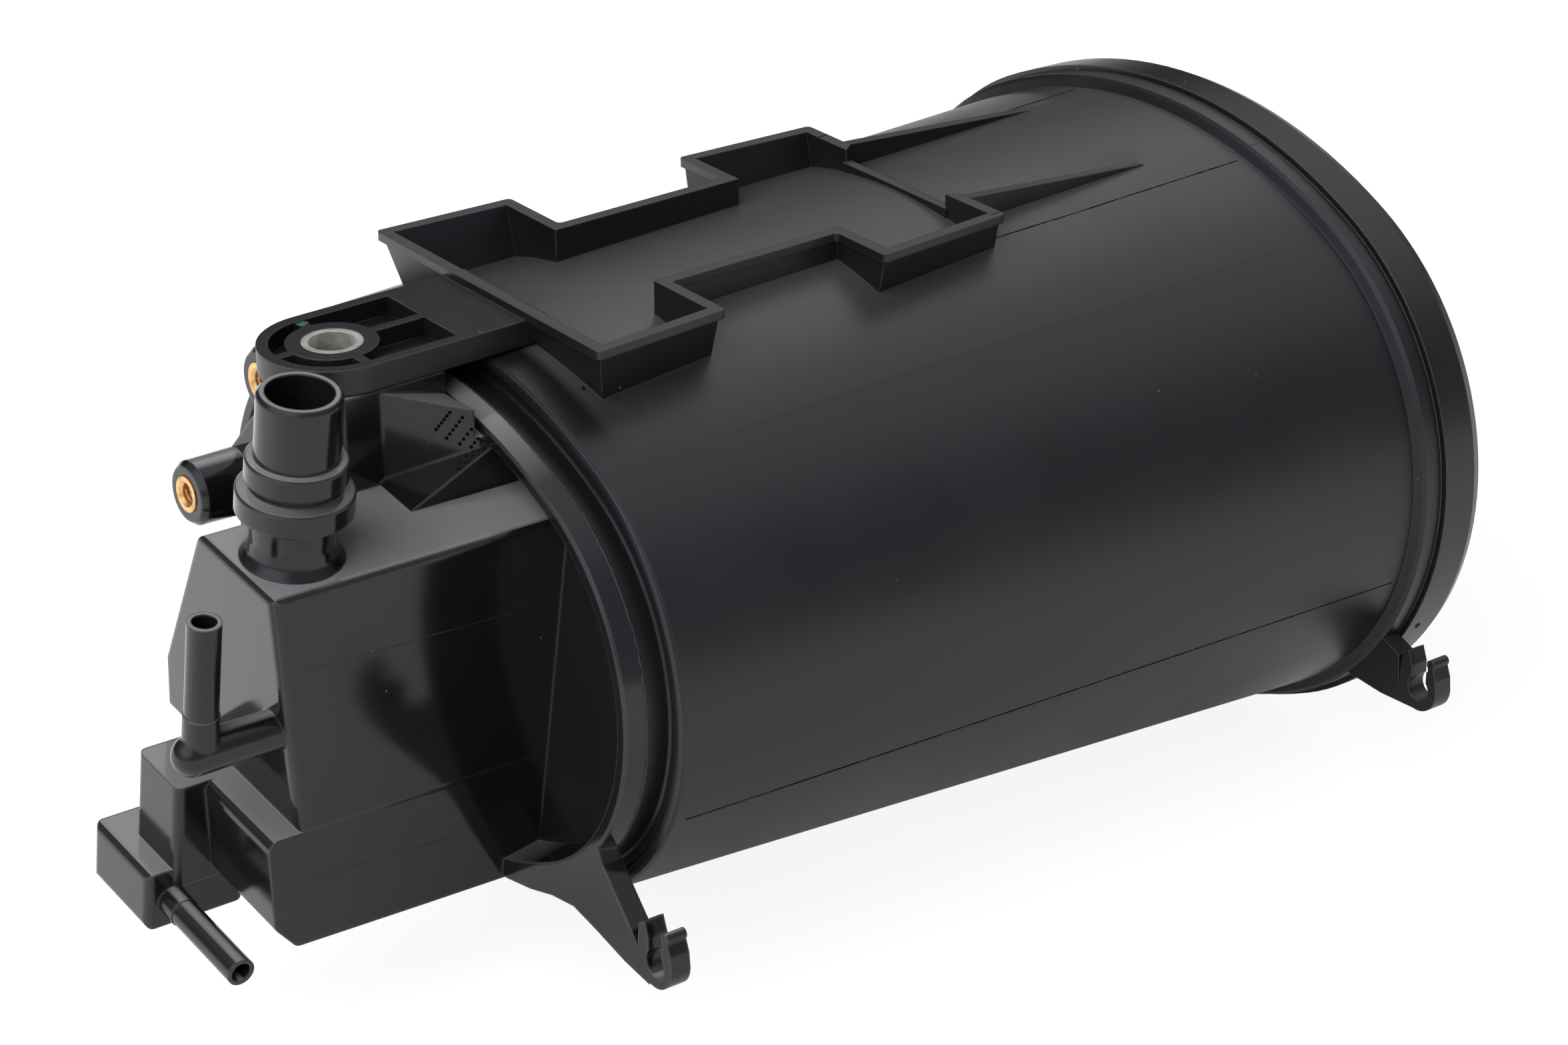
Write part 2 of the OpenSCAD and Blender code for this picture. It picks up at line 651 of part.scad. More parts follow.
// the cap on the rear flange, with seats for the springs
module end_cap() color([0.08, 0.08, 0.085]) on_axis() {
    e = cap_x + cap_len;
    difference() {
        oval_turn([[cap_x, cap_off], [e - 4, cap_off], [e - 1.2, cap_off - 1.2], [e, cap_off - 4]]);
        oval_turn([[cap_x - 1, inside(cap_x)], [cap_in, inside(cap_x) - 1]]);
    }
    for (p = spring_places()) lengthwise(cap_in - seat_h, p) difference() {
        cylinder(r = coil_r + wire_r + room + 2, h = seat_h + cap_wall / 2);
        translate([0, 0, -1]) cylinder(r = coil_r + wire_r + room, h = seat_h + 1);
    }
}

// where the springs press: two on the main plate, one on the other
function turn(p) = [p[0] * cos(head_roll) - p[1] * sin(head_roll),
    p[0] * sin(head_roll) + p[1] * cos(head_roll)];
function main_springs_at() = [turn([-spring_y, -spring_low]), turn([spring_y, -spring_low])];
function aux_spring_at() = turn([0, spring_high]);
function spring_places() = concat(main_springs_at(), [aux_spring_at()]);

// the split steel bushing pressed in the ear
module ear_bushing() color([0.72, 0.72, 0.68]) difference() {
    translate([0, 0, ear_bottom - 0.4]) cylinder(r = bush_r, h = ear_h + 0.4);
    translate([0, 0, -far / 2]) cylinder(r = bush_bore_r, h = far);
    rotate([0, 0, -60]) translate([0, -0.2, -far / 2]) cube([far, 0.4, far]);
}

// a brass insert with a chamfered mouth
module thread_insert(at) color([0.78, 0.58, 0.22]) on_head() lengthwise(-boss_reach - 0.3, at) difference() {
    cylinder(r = insert_r, h = insert_len);
    translate([0, 0, -1]) cylinder(r = insert_bore_r, h = insert_len + 2);
    translate([0, 0, -eps]) cylinder(r1 = insert_bore_r + 0.7, r2 = insert_bore_r, h = 0.7);
}

module upper_insert() thread_insert(insert_up);
module lower_insert() thread_insert(insert_low);

module filling(x0, x1, rgb, main) color(rgb) on_axis() intersection() {
    slice(x0, x1);
    if (main) main_side();
    else aux_side();
}

module main_charcoal() filling(bed_x, rear_pad_x, [0.03, 0.03, 0.03], true);
module aux_charcoal() filling(bed_x, rear_pad_x, [0.03, 0.03, 0.03], false);
module main_front_pad() filling(pad_x, bed_x, [0.85, 0.85, 0.82], true);
module main_rear_pad() filling(rear_pad_x, plate_rear_x, [0.85, 0.85, 0.82], true);
module aux_front_pad() filling(pad_x, bed_x, [0.85, 0.85, 0.82], false);
module aux_rear_pad() filling(rear_pad_x, plate_rear_x, [0.85, 0.85, 0.82], false);

// a plate pierced with rows of holes, with no hole under a spring's seat
module pierced(main, at) difference() {
    filling(plate_rear_x, spring_x, [0.2, 0.2, 0.21], main);
    n = floor((half_w - 16) / hole_pitch);
    rows = main ? [-half_h + 14 : hole_pitch : split_z - 8] : [split_z + 12 : 12 : half_h - 20];
    on_axis() for (k = [-n:n], z = rows) {
        p = turn([k * hole_pitch, z]);
        if (min([for (q = at) norm(p - q)]) > coil_r + 4)
            lengthwise(plate_rear_x - 1, p) cylinder(r = hole_r, h = plate_t + 2);
    }
}

module main_plate() pierced(true, main_springs_at());
module aux_plate() pierced(false, [aux_spring_at()]);

// a coil spring swept as one tube along its helix
module coil(x0, x1) {
    steps = ceil(coil_turns * 14);
    k = 6;
    pitch = (x1 - x0 - 2 * wire_r) / coil_turns;
    path = [for (i = [0:steps]) let (t = coil_turns * 360 * i / steps)
        for (j = [0:k - 1]) let (a = 360 * j / k, r = coil_r + wire_r * cos(a))
            [x0 + wire_r + pitch * t / 360 + wire_r * sin(a), r * cos(t), r * sin(t)]];
    sides = [for (i = [0:steps - 1], j = [0:k - 1]) let (a = i * k + j, b = i * k + (j + 1) % k)
        each [[a, b, b + k], [a, b + k, a + k]]];
    polyhedron(path, concat([[for (j = [k - 1:-1:0]) j]], sides, [[for (j = [0:k - 1]) steps * k + j]]));
}

module spring(at) color([0.6, 0.6, 0.6]) on_axis()
    translate([0, at[0], at[1]]) coil(spring_x + spring_gap, cap_in - spring_gap);

module main_springs() for (p = main_springs_at()) spring(p);
module aux_spring() spring(aux_spring_at());

body_shell();
front_head();
end_cap();
ear_bushing();
upper_insert();
lower_insert();
main_charcoal();
aux_charcoal();
main_front_pad();
main_rear_pad();
aux_front_pad();
aux_rear_pad();
main_plate();
aux_plate();
main_springs();
aux_spring();
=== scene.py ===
# %% [markdown]
# # Charcoal canister
# A fuel vapour canister is a big black moulding: an oval case with a slide bracket on its back, a
# glossier head with its ports welded in one end, and a cap welded on the other. The solids are already
# at their real size, so this script only gives them their finish, the small marks that moulding and
# welding leave, and a studio. The first cell loads the solids and keeps their box.

# %% Load the solids
import json
import math

import bmesh
import bpy
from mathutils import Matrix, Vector, noise
from mathutils.bvhtree import BVHTree


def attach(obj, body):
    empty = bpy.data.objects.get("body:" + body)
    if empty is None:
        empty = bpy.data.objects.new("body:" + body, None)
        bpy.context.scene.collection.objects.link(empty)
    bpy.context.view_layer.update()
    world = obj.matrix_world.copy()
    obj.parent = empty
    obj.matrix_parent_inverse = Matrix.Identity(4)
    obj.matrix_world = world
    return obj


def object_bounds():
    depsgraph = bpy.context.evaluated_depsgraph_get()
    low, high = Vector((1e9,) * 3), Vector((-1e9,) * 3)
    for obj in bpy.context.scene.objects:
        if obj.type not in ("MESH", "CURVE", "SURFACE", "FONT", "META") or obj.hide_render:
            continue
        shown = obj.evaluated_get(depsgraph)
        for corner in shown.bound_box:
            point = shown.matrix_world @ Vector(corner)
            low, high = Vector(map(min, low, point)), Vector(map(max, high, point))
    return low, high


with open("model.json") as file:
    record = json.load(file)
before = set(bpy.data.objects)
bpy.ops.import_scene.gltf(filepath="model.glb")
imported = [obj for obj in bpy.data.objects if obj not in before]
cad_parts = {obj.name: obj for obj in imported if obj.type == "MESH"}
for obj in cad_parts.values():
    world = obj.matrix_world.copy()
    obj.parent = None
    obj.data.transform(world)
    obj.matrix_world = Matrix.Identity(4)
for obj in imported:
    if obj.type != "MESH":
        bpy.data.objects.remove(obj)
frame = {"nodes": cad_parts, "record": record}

CAD_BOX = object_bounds()
nodes = frame["nodes"]
MM = 0.001
print("solids:", len(nodes), "box in mm:", [round(v / MM, 1) for v in CAD_BOX[1] - CAD_BOX[0]])

# %% [markdown]
# Curved faces arrive as flat triangles with the normals of the true surface, so they only have to be
# called smooth. The case and the cap need one thing more: each of their faces has corners of its own, and
# a small modifier joins the corners that lie on each other, so that the side arcs run on in the flatter
# back without a seam. An edge stays sharp where it turns by more than a set angle. No point of the mesh
# moves, so the part keeps its size.

# %% Shade round walls smooth
SMOOTH_ANGLE = math.radians(28)
OVAL_ANGLE = math.radians(12)
SAME_PLACE = 1e-6
smoother = bpy.data.node_groups.new("round_walls", "GeometryNodeTree")
for socket_side in ("INPUT", "OUTPUT"):
    smoother.interface.new_socket("Geometry", in_out=socket_side, socket_type="NodeSocketGeometry")
came_in = smoother.nodes.new("NodeGroupInput")
goes_out = smoother.nodes.new("NodeGroupOutput")
joined = smoother.nodes.new("GeometryNodeMergeByDistance")
joined.inputs["Distance"].default_value = SAME_PLACE
old_normals = smoother.nodes.new("GeometryNodeRemoveAttribute")
old_normals.inputs["Name"].default_value = "custom_normal"
edge_angle = smoother.nodes.new("GeometryNodeInputMeshEdgeAngle")
gentle = smoother.nodes.new("FunctionNodeCompare")
gentle.operation = "LESS_THAN"
gentle.inputs["B"].default_value = OVAL_ANGLE
shaded = smoother.nodes.new("GeometryNodeSetShadeSmooth")
shaded.domain = "EDGE"
smoother.links.new(came_in.outputs[0], joined.inputs[0])
smoother.links.new(joined.outputs[0], old_normals.inputs[0])
smoother.links.new(old_normals.outputs[0], shaded.inputs[0])
smoother.links.new(edge_angle.outputs["Unsigned Angle"], gentle.inputs["A"])
smoother.links.new(gentle.outputs[0], shaded.inputs["Shade Smooth"])
smoother.links.new(shaded.outputs[0], goes_out.inputs[0])
for solid in nodes.values():
    solid.data.shade_smooth()
    solid.data.set_sharp_from_angle(angle=SMOOTH_ANGLE)
for name in ("body_shell", "end_cap"):
    nodes[name].modifiers.new("round_walls", "NODES").node_group = smoother
print("smooth up to", round(math.degrees(SMOOTH_ANGLE)), "degrees")

# %% [markdown]
# The case's axis is where most small marks are measured from: how far along it, and at which angle round
# it. A ray shot at the axis from outside finds the skin, so a mark placed this way always sits on the
# part, whatever the wall does there.

# %% Find the skin round the case
CASE_FRONT = Vector((29.4, 0, -74)) * MM
CASE_TILT = math.radians(1.5)
CASE_LEN = 221 * MM
OUTSIDE = 0.3
SAMPLE_TURN = 60
axis = Vector((math.cos(CASE_TILT), 0, -math.sin(CASE_TILT)))
axis_up = Vector((math.sin(CASE_TILT), 0, math.cos(CASE_TILT)))
across = Vector((0, 1, 0))
depsgraph = bpy.context.evaluated_depsgraph_get()
skins = {name: BVHTree.FromObject(solid, depsgraph) for name, solid in nodes.items()}


def first_hit(start, way, names):
    """The first point and normal that a ray meets on the named solids."""
    found = [skins[name].ray_cast(start, way, 2 * OUTSIDE) for name in names]
    found = [hit for hit in found if hit[0] is not None]
    if not found:
        return None, None
    place, normal, _, _ = min(found, key=lambda hit: hit[3])
    return place, normal if normal.dot(way) < 0 else -normal


def outward(degrees):
    """The way out from the case's axis at an angle round it."""
    turn = math.radians(degrees)
    return across * math.cos(turn) + axis_up * math.sin(turn)


def round_case(along, degrees, names=("body_shell",)):
    """The skin at a distance along the case's axis and an angle round it."""
    out = outward(degrees)
    return first_hit(CASE_FRONT + axis * along + out * OUTSIDE, -out, names)


print("case skin on top:", [round(v / MM, 1) for v in round_case(CASE_LEN / 2, SAMPLE_TURN)[0]])

# %% [markdown]
# A material here is a chain of nodes on a Principled shader. A few short helpers keep each chain
# readable: one adds a node, sets its sockets and links what is passed as a socket, and the others use it
# for the steps that come back all the time.

# %% Helpers for node chains
def new_material(name):
    made = bpy.data.materials.new(name)
    made.use_nodes = True
    tree = made.node_tree
    tree.nodes.clear()
    return made, tree


def add(tree, kind, values=None, **settings):
    """Adds a node; values sets its inputs by name or number, from a plain value or another socket."""
    made = tree.nodes.new(kind)
    for key, value in settings.items():
        setattr(made, key, value)
    for key, value in (values or {}).items():
        if isinstance(value, bpy.types.NodeSocket):
            tree.links.new(value, made.inputs[key])
        else:
            made.inputs[key].default_value = value
    return made


def ramp(tree, source, low, high, low_value=0.0, high_value=1.0, **settings):
    """Maps a value from one range to another, clamped."""
    values = {0: source, 1: low, 2: high, 3: low_value, 4: high_value}
    return add(tree, "ShaderNodeMapRange", values, **settings).outputs[0]


def calc(tree, operation, *values):
    """The result of a sum on sockets or plain numbers."""
    return add(tree, "ShaderNodeMath", dict(enumerate(values)), operation=operation).outputs[0]


def facing(tree, vector, way):
    """How far a vector looks along another: 1 along it, 0 across it."""
    made = add(tree, "ShaderNodeVectorMath", {0: vector, 1: way}, operation="DOT_PRODUCT")
    return made.outputs["Value"]


def mixed(tree, share, first, second, **settings):
    """A colour between two, each a socket or a plain colour."""
    ends = [end if isinstance(end, bpy.types.NodeSocket) else (*end, 1.0) for end in (first, second)]
    made = add(tree, "ShaderNodeMix", {"Factor": share, 6: ends[0], 7: ends[1]}, data_type="RGBA", **settings)
    return made.outputs[2]


def clouds(tree, place, scale, detail):
    """Soft noise of a scale, with that many finer layers."""
    values = {"Vector": place, "Scale": scale, "Detail": detail}
    return add(tree, "ShaderNodeTexNoise", values).outputs[0]


def on_part(tree):
    """The place on the part, in its own frame."""
    return add(tree, "ShaderNodeTexCoord").outputs["Object"]


print("node helpers ready")

# %% [markdown]
# Three shares change the plastic's colour: rare pale specks for dust, a painted highlight on the outer
# edges, and a painted sheen on level tops that stands for the light they catch. The edges are found with
# a bevel: where it turns the normal there is an edge, and where the nearby space is open the edge is an outer
# one.

# %% Dust, painted edge highlight and painted sheen
SPECK_SCALE = 240.0
SPECK_EDGE = (0.09, 0.05)
EDGE_SAMPLES = 4
CORNER_REACH = 3 * MM
CORNER_TO_EDGE = (0.7, 0.9)
TURNED = (0.97, 0.80)
LEVEL = (0.90, 0.985)
# How far along the part the painted sheen on level tops fades in.
SHEEN_FADE = 3 * MM


def dust_specks(tree, place, dust):
    """A share that is 1 on small round specks; dust is how many of the cells have one."""
    cells = add(tree, "ShaderNodeTexVoronoi", {"Vector": place, "Scale": SPECK_SCALE})
    lots = add(tree, "ShaderNodeSeparateColor", {0: cells.outputs["Color"]}).outputs[0]
    rare = ramp(tree, lots, 1.0 - dust, 1.0)
    near = ramp(tree, cells.outputs["Distance"], *SPECK_EDGE)
    return calc(tree, "MULTIPLY", rare, near)


def outer_edges(tree, straight, rounded):
    """A share that is 1 on outer edges, where the rounded normal leaves the straight one."""
    around = add(tree, "ShaderNodeAmbientOcclusion", {"Distance": CORNER_REACH},
                 samples=EDGE_SAMPLES, only_local=True)
    outer = ramp(tree, around.outputs["AO"], *CORNER_TO_EDGE)
    return ramp(tree, facing(tree, rounded, straight), *TURNED, 0.0, outer)


def level_tops(tree, place, straight, start):
    """A share that is 1 on level tops past a place along the part."""
    upward = add(tree, "ShaderNodeSeparateXYZ", {0: straight}).outputs[2]
    along = add(tree, "ShaderNodeSeparateXYZ", {0: place}).outputs[0]
    past = ramp(tree, along, start, start + SHEEN_FADE)
    return calc(tree, "MULTIPLY", ramp(tree, upward, *LEVEL), past)


print("edges are looked for within", round(CORNER_REACH / MM), "mm")

# %% [markdown]
# Moulded black nylon has no colour of its own to speak of: nearly all that is seen of it is a
# reflection, so its roughness does the work. The case left a satin tool and blurs what it mirrors, the
# head left a polished one and mirrors its neighbours clearly. A fine grain and a slow waviness in the
# bump keep both from looking like glass. A painted sheen, a paler colour for the light they catch, lies
# on the level tops of the head and in the bracket's tray, and a bevel in the shading gives the edges the
# small radius of a real tool.

# %% The moulded plastics
EDGE_RADIUS = 0.5 * MM
HEAD_EDGE_RADIUS = 1.0 * MM
BRACKET_FROM = 39 * MM
EVERYWHERE = -1.0
# Colour of the painted highlight on outer edges.
EDGE_HIGHLIGHT = (0.030, 0.030, 0.031)
SPECK = (0.05, 0.05, 0.048)
SPECK_DULL = 0.5
FLOW_SCALE = 26.0
WAVE_SCALE = 70.0
WAVE_DEPTH = 0.2 * MM
GRAIN_SCALE = 2600.0
GRAIN_DEPTH = 0.05 * MM
NYLON_IOR = 1.52


def moulded_plastic(name, colour, dull, spread, grain, wave, dust, painted_sheen=0.0, sheen_from=EVERYWHERE,
                    shine=0.5, edge_highlight=EDGE_HIGHLIGHT, edge_radius=EDGE_RADIUS):
    """Black moulded plastic: dull is its roughness, spread how far that varies, grain and wave the
    strength of its bump, painted_sheen the paleness of a painted sheen on its level tops past sheen_from
    along the part, edge_highlight the colour of a painted highlight on its outer edges."""
    made, tree = new_material(name)
    place = on_part(tree)
    straight = add(tree, "ShaderNodeNewGeometry").outputs["Normal"]
    rounded = add(tree, "ShaderNodeBevel", {"Radius": edge_radius}, samples=EDGE_SAMPLES).outputs[0]
    flow = clouds(tree, place, FLOW_SCALE, 4.0)
    speck = dust_specks(tree, place, dust)
    skin = mixed(tree, 1.0, colour, ramp(tree, flow, 0.35, 0.65, 0.8, 1.25), blend_type="MULTIPLY")
    # Painted sheen: level tops get a paler colour that stands for the light they catch.
    sheened = [part + painted_sheen for part in colour]
    skin = mixed(tree, level_tops(tree, place, straight, sheen_from), skin, sheened)
    # Painted highlight: outer edges get a paler colour that stands for the light they catch.
    skin = mixed(tree, outer_edges(tree, straight, rounded), skin, edge_highlight)
    skin = mixed(tree, speck, skin, SPECK)
    rough = ramp(tree, flow, 0.3, 0.7, dull - spread, dull + spread)
    rough = calc(tree, "MULTIPLY_ADD", speck, SPECK_DULL, rough)
    waves = add(tree, "ShaderNodeBump", {"Strength": wave, "Distance": WAVE_DEPTH,
                                         "Height": clouds(tree, place, WAVE_SCALE, 2.0),
                                         "Normal": rounded})
    grains = add(tree, "ShaderNodeBump", {"Strength": grain, "Distance": GRAIN_DEPTH,
                                          "Height": clouds(tree, place, GRAIN_SCALE, 2.0),
                                          "Normal": waves.outputs[0]})
    shader = add(tree, "ShaderNodeBsdfPrincipled", {"Base Color": skin, "Roughness": rough,
                                                    "IOR": NYLON_IOR, "Specular IOR Level": shine,
                                                    "Normal": grains.outputs[0]})
    add(tree, "ShaderNodeOutputMaterial", {0: shader.outputs[0]})
    return made


# A near-black, barely shiny plastic that is painted shade: the mould lines and the gusset's pips take it to
# look shadowed.
PAINTED_SHADE_BLACK = (0.0012, 0.0012, 0.0012)
# The case's tray tops and all the head's level tops get a painted sheen, a paler colour for the light they
# catch.
case_plastic = moulded_plastic("case_plastic", (0.0024, 0.0024, 0.0028), dull=0.37, spread=0.05, grain=0.22,
                               wave=0.05, dust=0.05, painted_sheen=0.016, sheen_from=BRACKET_FROM)
head_plastic = moulded_plastic("head_plastic", (0.0026, 0.0026, 0.0028), dull=0.12, spread=0.03, grain=0.04,
                               wave=0.04, dust=0.03, painted_sheen=0.065, edge_radius=HEAD_EDGE_RADIUS)
cap_plastic = moulded_plastic("cap_plastic", (0.0022, 0.0022, 0.0025), dull=0.32, spread=0.05, grain=0.22,
                              wave=0.06, dust=0.04)
plate_plastic = moulded_plastic("plate_plastic", (0.03, 0.03, 0.03), dull=0.5, spread=0.05, grain=0.2,
                                wave=0.05, dust=0.02)
weld_plastic = moulded_plastic("weld_plastic", (0.0040, 0.0040, 0.0042), dull=0.50, spread=0.10, grain=0.60,
                               wave=0.30, dust=0.02)
painted_shade_plastic = moulded_plastic("painted_shade_plastic", PAINTED_SHADE_BLACK, dull=0.60, spread=0.05, grain=0.2,
                                 wave=0.1, dust=0.0, shine=0.05, edge_highlight=PAINTED_SHADE_BLACK)
plastics = [case_plastic, head_plastic, cap_plastic, plate_plastic, weld_plastic, painted_shade_plastic]
print("plastics:", [plastic.name for plastic in plastics])

# %% [markdown]
# The bushing is rolled from plated strip, so fine lines run round it and its plating is a little warm and
# cloudy. The inserts are turned brass, with fine tool lines and patches of darker tarnish.

# %% The metals
METAL_EDGE = 0.25 * MM
TOOL_SCALE = 220.0
TOOL_DEPTH = 0.05 * MM
PATCH_SCALE = 420.0
METALLIC = 0.93


def worked_metal(name, colour, tarnish, dull, line_scale, bump):
    """Bare metal with tool lines across Z of the part and patches of tarnish."""
    made, tree = new_material(name)
    place = on_part(tree)
    squeezed = add(tree, "ShaderNodeMapping", {"Vector": place, "Scale": (1.0, 1.0, line_scale)})
    lines = clouds(tree, squeezed.outputs[0], TOOL_SCALE, 5.0)
    patches = clouds(tree, place, PATCH_SCALE, 4.0)
    skin = mixed(tree, ramp(tree, patches, 0.45, 0.72), colour, tarnish)
    rough = ramp(tree, lines, 0.3, 0.7, dull - 0.08, dull + 0.12)
    rounded = add(tree, "ShaderNodeBevel", {"Radius": METAL_EDGE}, samples=EDGE_SAMPLES)
    cut = add(tree, "ShaderNodeBump", {"Strength": bump, "Distance": TOOL_DEPTH, "Height": lines,
                                       "Normal": rounded.outputs[0]})
    shader = add(tree, "ShaderNodeBsdfPrincipled", {"Base Color": skin, "Metallic": METALLIC,
                                                    "Roughness": rough, "Normal": cut.outputs[0]})
    add(tree, "ShaderNodeOutputMaterial", {0: shader.outputs[0]})
    return made


bushing_steel = worked_metal("bushing_steel", (0.86, 0.85, 0.77), (0.60, 0.59, 0.51),
                             dull=0.26, line_scale=14.0, bump=0.3)
insert_brass = worked_metal("insert_brass", (0.78, 0.47, 0.20), (0.46, 0.26, 0.11),
                            dull=0.26, line_scale=6.0, bump=0.3)
spring_steel = worked_metal("spring_steel", (0.50, 0.50, 0.51), (0.30, 0.29, 0.28),
                            dull=0.35, line_scale=3.0, bump=0.2)
print("metals:", bushing_steel.name, insert_brass.name, spring_steel.name)

# %% [markdown]
# The filling is sealed in and never seen, but a part that is cut open or taken apart should still look
# right: pelleted charcoal is dead black and grainy, and the pads are pale felt.

# %% The filling's materials
LOOSE_BUMP = 0.8
LOOSE_DULL = 0.9


def loose_grain(name, colour, light, cell_scale, depth):
    """A heap of pellets or fibres: cells of a little different colour, with bump between them."""
    made, tree = new_material(name)
    cells = add(tree, "ShaderNodeTexVoronoi", {"Vector": on_part(tree), "Scale": cell_scale})
    shade = add(tree, "ShaderNodeSeparateColor", {0: cells.outputs["Color"]})
    skin = mixed(tree, shade.outputs[0], colour, light)
    bump = add(tree, "ShaderNodeBump", {"Strength": LOOSE_BUMP, "Distance": depth,
                                        "Height": cells.outputs[0]})
    shader = add(tree, "ShaderNodeBsdfPrincipled", {"Base Color": skin, "Roughness": LOOSE_DULL,
                                                    "Normal": bump.outputs[0]})
    add(tree, "ShaderNodeOutputMaterial", {0: shader.outputs[0]})
    return made


charcoal = loose_grain("charcoal", (0.008, 0.008, 0.008), (0.022, 0.022, 0.022),
                       cell_scale=420.0, depth=0.6 * MM)
felt = loose_grain("felt", (0.60, 0.60, 0.57), (0.72, 0.72, 0.69), cell_scale=1600.0, depth=0.2 * MM)
print("filling:", charcoal.name, felt.name)

# %% [markdown]
# Each solid was moulded, turned or wound from one stock, so each gets one finish all over.

# %% Dress the solids
FINISHES = {
    "body_shell": case_plastic, "front_head": head_plastic, "end_cap": cap_plastic,
    "ear_bushing": bushing_steel, "upper_insert": insert_brass, "lower_insert": insert_brass,
    "main_charcoal": charcoal, "aux_charcoal": charcoal,
    "main_front_pad": felt, "main_rear_pad": felt, "aux_front_pad": felt, "aux_rear_pad": felt,
    "main_plate": plate_plastic, "aux_plate": plate_plastic,
    "main_springs": spring_steel, "aux_spring": spring_steel}
for name, finish in FINISHES.items():
    nodes[name].data.materials.clear()
    nodes[name].data.materials.append(finish)
print("dressed:", len(FINISHES))

# %% [markdown]
# Small marks are swept meshes: a run of points on the skin, each with the skin's normal, carries a little
# ring of points along it. The same sweep makes a thick weld bead with a lumpy radius and a thin mould
# line that hardly stands proud. A bead is sunk in the skin by a share of its radius, so no gap shows.

# %% Sweep a bead along the skin
BEAD_SIDES = 8
LINE_SINK = 0.4


def piece_from(mesh, name, finish):
    """Turns a finished bmesh into a smooth piece that rides on the part."""
    data = bpy.data.meshes.new(name)
    mesh.to_mesh(data)
    mesh.free()
    data.shade_smooth()
    data.materials.append(finish)
    piece = bpy.data.objects.new(name, data)
    bpy.context.scene.collection.objects.link(piece)
    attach(piece, "root")
    return piece


def sweep(name, run, radius_at, closed, finish, sink):
    """A bead along run, a list of (place, normal); radius_at gives its radius at each place."""
    mesh = bmesh.new()
    rings = []
    count = len(run)
    turns = [2 * math.pi * k / BEAD_SIDES for k in range(BEAD_SIDES)]
    for i, (place, normal) in enumerate(run):
        ahead = run[(i + 1) % count][0] if closed or i + 1 < count else place
        behind = run[i - 1][0] if closed or i > 0 else place
        along = (ahead - behind).normalized()
        side = along.cross(normal).normalized()
        radius = radius_at(place)
        middle = place - normal * radius * sink
        rings.append([mesh.verts.new(middle + (side * math.cos(t) + normal * math.sin(t)) * radius)
                      for t in turns])
    pairs = list(zip(rings, rings[1:]))
    if closed:
        pairs.append((rings[-1], rings[0]))
    for ring, following in pairs:
        for k in range(BEAD_SIDES):
            other = (k + 1) % BEAD_SIDES
            mesh.faces.new((ring[k], ring[other], following[other], following[k]))
    if not closed:
        mesh.faces.new(rings[0][::-1])
        mesh.faces.new(rings[-1])
    bmesh.ops.recalc_face_normals(mesh, faces=mesh.faces)
    return piece_from(mesh, name, finish)


def lumpy(radius, share, scale):
    """A radius that wanders along the bead, as melted plastic does."""
    return lambda place: radius * (1 + share * noise.noise(place * scale))


print("a bead has", BEAD_SIDES, "sides")

# %% [markdown]
# The head and the cap are vibration welded to the case. Each weld squeezes out a rough lip of melted
# plastic all round, which catches the light as a ragged pale line. The oval is the same in all four
# quarters, so the nearest of four mirrored hits is the rim itself, and never the ear or a clip that
# stands in the ray's way.

# %% Weld beads
WELD_STEPS = 720
WELD_SINK = 0.3
HEAD_WELD_X = -4.5 * MM
HEAD_WELD_RADIUS = 0.30 * MM
CAP_WELD_X = CASE_LEN + 5.7 * MM
CAP_WELD_RADIUS = 0.35 * MM
SHELLS = ("body_shell", "front_head", "end_cap")


def weld(name, along, radius):
    centre = CASE_FRONT + axis * along
    run = []
    for i in range(WELD_STEPS):
        degrees = 360 * i / WELD_STEPS
        quarters = (degrees, -degrees, 180 - degrees, 180 + degrees)
        mirrored = [round_case(along, quarter, SHELLS)[0] for quarter in quarters]
        out = outward(degrees)
        run.append((centre + out * min((hit - centre).length for hit in mirrored), out))
    return sweep(name, run, lumpy(radius, share=0.7, scale=900.0), True, weld_plastic, WELD_SINK)


welds = [weld("head_weld", HEAD_WELD_X, HEAD_WELD_RADIUS),
         weld("cap_weld", CAP_WELD_X, CAP_WELD_RADIUS)]
print("welds:", [len(piece.data.polygons) for piece in welds])

# %% [markdown]
# Where two halves of the tool met, the case keeps a hair of flash along its length: one line low on each
# side, and two on its back where the bracket's slides came out. Each is given by its angle round the case
# at the front and at the rear, and by the shares of the length between which it runs.

# %% Mould lines on the case
LINE_STEPS = 160
FLASH = 0.20 * MM
MOULD_LINES = {"near_low_line": (-165.5, -169.4, 0.02, 0.985), "far_low_line": (-14.5, -10.6, 0.02, 0.985),
               "near_top_line": (115.2, 114.5, 0.60, 0.985), "far_top_line": (68.0, 69.6, 0.60, 0.985)}


def mould_line(name, first, last, start, end):
    run = []
    for i in range(LINE_STEPS + 1):
        share = start + (end - start) * i / LINE_STEPS
        place, normal = round_case(CASE_LEN * share, first + (last - first) * share)
        if place is not None:
            run.append((place, normal))
    radius_at = lumpy(FLASH, share=0.5, scale=500.0)
    # The flash takes the painted-shade plastic: its dark colour is a painted shadow along the line.
    return sweep(name, run, radius_at, False, painted_shade_plastic, LINE_SINK)


lines = [mould_line(name, *where) for name, where in MOULD_LINES.items()]
print("mould lines:", len(lines))

# %% [markdown]
# The other lines are short: the box and the step carry one where their slide met the tool, and the flange
# and the cap a tick where a mould line runs over them. Each is given by the ends of a straight run in mm
# and the way in which it is pressed on the skin.

